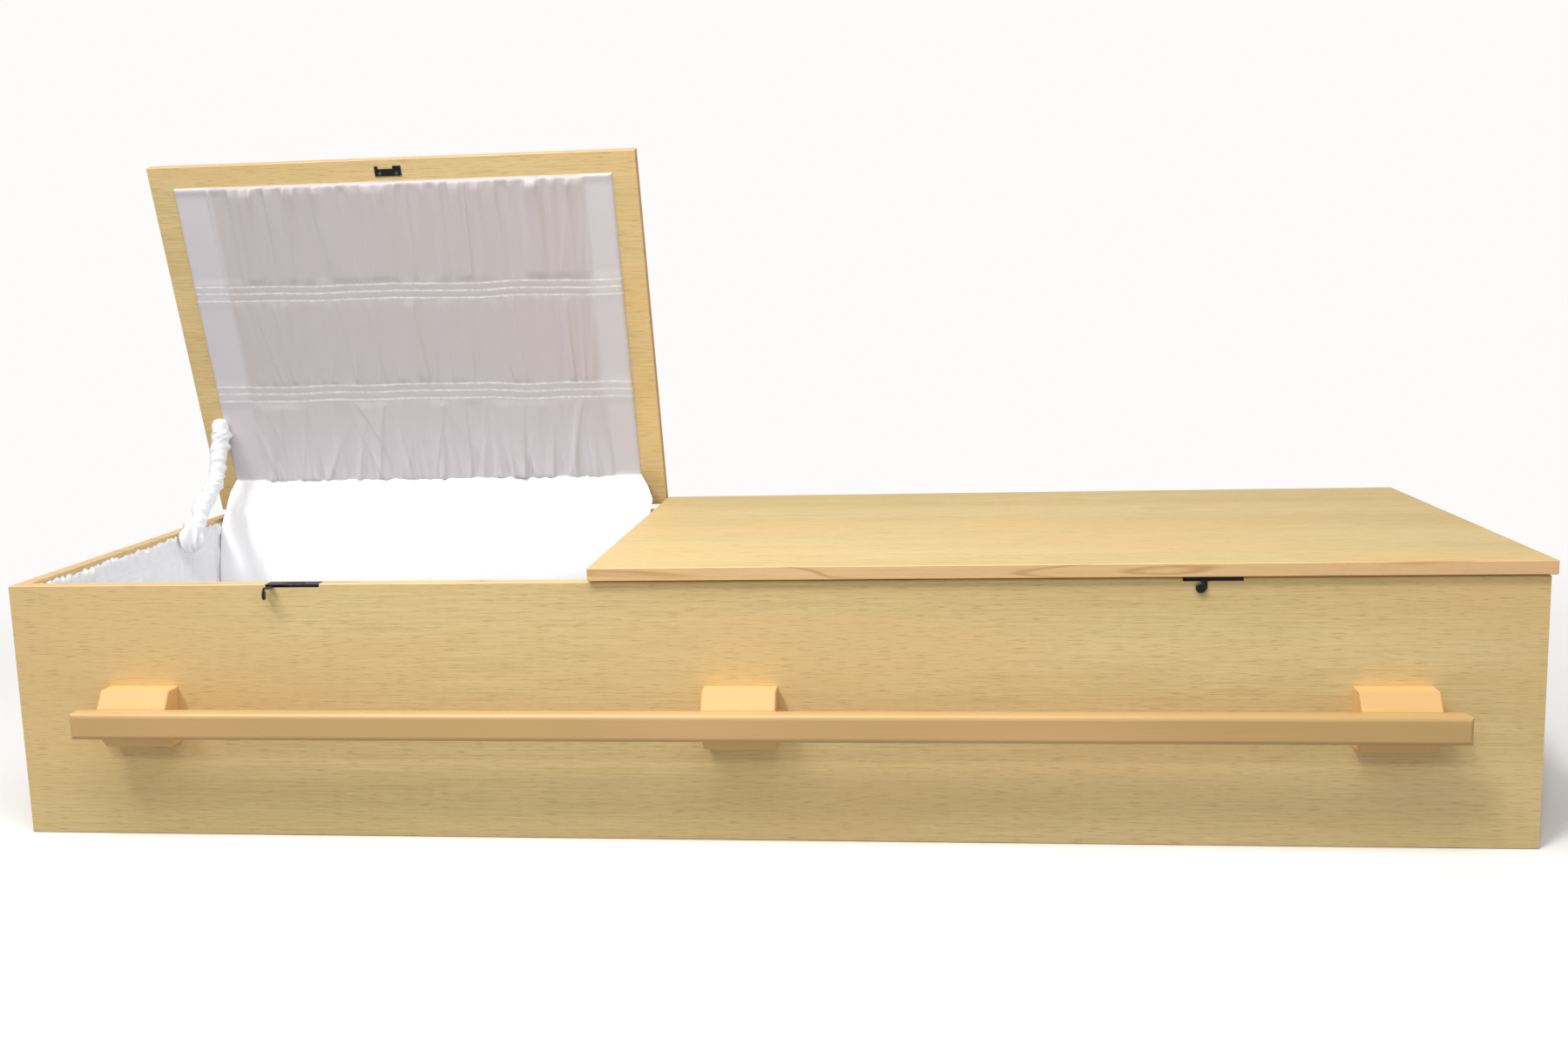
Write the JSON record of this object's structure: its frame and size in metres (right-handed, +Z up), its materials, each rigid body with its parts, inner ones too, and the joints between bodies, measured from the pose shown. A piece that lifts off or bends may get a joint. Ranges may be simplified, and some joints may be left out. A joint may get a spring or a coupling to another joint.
{
  "type": "casket",
  "caption": "Flat-lidded half-couch casket in pale veneered board with a shirred satin lining and rail handles on timber blocks; the head lid stands open on a sleeved stay, the foot lid is shut.",
  "frame": {"origin": "on the ground under the middle of the casket's overall box", "axes": "+X runs along the casket from the head end to the foot end, -Y is the front with the latches, +Z is up"},
  "size_m": [2.042, 0.7156, 0.9615],
  "materials": {
    "veneer": "satin lacquer over fine straight grain",
    "handle_wood": "smooth, matt",
    "black_steel": "black, semi-gloss",
    "screw_steel": "dulled steel",
    "satin": "white satin, shirred"
  },
  "bodies": {
    "casket_body": {"body_front": "veneer", "body_back": "veneer", "body_head_end": "veneer", "body_foot_end": "veneer", "body_base": "veneer", "head_lid_hinge_1_body_leaf": "black_steel", "head_lid_hinge_2_body_leaf": "black_steel", "foot_lid_hinge_1_body_leaf": "black_steel", "foot_lid_hinge_2_body_leaf": "black_steel", "front_handle_bar": "handle_wood", "front_handle_block_head": "handle_wood", "front_handle_block_middle": "handle_wood", "front_handle_block_foot": "handle_wood", "back_handle_bar": "handle_wood", "back_handle_block_head": "handle_wood", "back_handle_block_middle": "handle_wood", "back_handle_block_foot": "handle_wood", "head_latch_case": "black_steel", "foot_latch_case": "black_steel", "stay_wall_bracket": "black_steel", "head_end_lining": "satin", "foot_end_lining": "satin", "front_lining": "satin", "back_lining": "satin", "floor_lining": "satin", "apron": "satin"},
    "head_lid_body": {"head_lid": "veneer", "head_lid_lining": "satin", "head_lid_hinge_1_lid_leaf": "black_steel", "head_lid_hinge_2_lid_leaf": "black_steel", "head_lid_keeper": "black_steel", "head_keeper_screw_1": "screw_steel", "head_keeper_screw_2": "screw_steel", "stay_lid_bracket": "black_steel"},
    "foot_lid_body": {"foot_lid": "veneer", "foot_lid_lining": "satin", "foot_lid_hinge_1_lid_leaf": "black_steel", "foot_lid_hinge_2_lid_leaf": "black_steel", "foot_lid_keeper": "black_steel", "foot_keeper_screw_1": "screw_steel", "foot_keeper_screw_2": "screw_steel"},
    "stay_upper_body": {"stay_upper_link": "black_steel", "stay_sleeve_upper": "satin"},
    "stay_lower_body": {"stay_lower_link": "black_steel", "stay_sleeve_lower": "satin"},
    "head_lever_body": {"head_latch_lever": "black_steel"},
    "foot_lever_body": {"foot_latch_lever": "black_steel"}
  },
  "joints": [
    {"name": "head_lid_hinge", "type": "hinge", "parent": "casket_body", "child": "head_lid_body", "pos_m": [-0.612, 0.3135, 0.356], "axis": [1, 0, 0], "range_deg": [0, 75], "deforming": ["apron", "stay_sleeve_upper", "stay_sleeve_lower"]},
    {"name": "foot_lid_hinge", "type": "hinge", "parent": "casket_body", "child": "foot_lid_body", "pos_m": [0.411, 0.3135, 0.356], "axis": [-1, 0, 0], "range_deg": [0, 75]},
    {"name": "stay_upper_pivot", "type": "hinge", "parent": "head_lid_body", "child": "stay_upper_body", "pos_m": [-0.9865, 0.25256, 0.51774], "axis": [1, 0, 0], "range_deg": [0, 35.6]},
    {"name": "stay_elbow", "type": "hinge", "parent": "stay_upper_body", "child": "stay_lower_body", "pos_m": [-0.984, 0.22565, 0.41625], "axis": [1, 0, 0], "range_deg": [-142.3, 0]},
    {"name": "head_latch_lever_pivot", "type": "hinge", "parent": "casket_body", "child": "head_lever_body", "pos_m": [-0.638, -0.2955, 0.35235], "axis": [0, 0, 1], "range_deg": [0, 72]},
    {"name": "foot_latch_lever_pivot", "type": "hinge", "parent": "casket_body", "child": "foot_lever_body", "pos_m": [0.576, -0.2955, 0.35235], "axis": [0, 0, -1], "range_deg": [0, 72]}
  ],
  "couplings": [
    {"joint": "stay_upper_pivot", "follows": "head_lid_hinge", "ratio": 0.47435},
    {"joint": "stay_elbow", "follows": "head_lid_hinge", "ratio": -1.8962}
  ]
}
